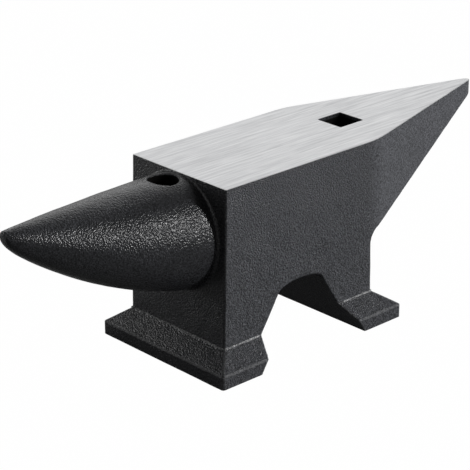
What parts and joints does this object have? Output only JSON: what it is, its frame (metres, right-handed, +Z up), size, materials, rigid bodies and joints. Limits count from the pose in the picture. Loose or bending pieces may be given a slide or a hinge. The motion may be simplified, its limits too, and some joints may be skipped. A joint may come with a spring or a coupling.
{
  "type": "double horn anvil",
  "caption": "Small double horn anvil with a ground working face, a round horn, a tapered square horn, a hardy hole, a pritchel hole and two splayed feet.",
  "frame": {"origin": "on the ground, midway between the two horn tips and midway across the anvil", "axes": "+X towards the square horn, +Y across, +Z up"},
  "size_m": [0.4686, 0.1324, 0.143],
  "materials": {
    "ground_steel": "ground along the length, fine scratches",
    "black_paint": "black hammered paint over a rough casting skin, semi-gloss"
  },
  "bodies": {
    "root": {"face_plate": "ground_steel", "body": "black_paint", "round_horn": "black_paint", "round_horn_weld": "black_paint", "square_horn": "black_paint", "front_foot": "black_paint", "rear_foot": "black_paint", "front_foot_weld": "black_paint", "rear_foot_weld": "black_paint"}
  },
  "joints": []
}
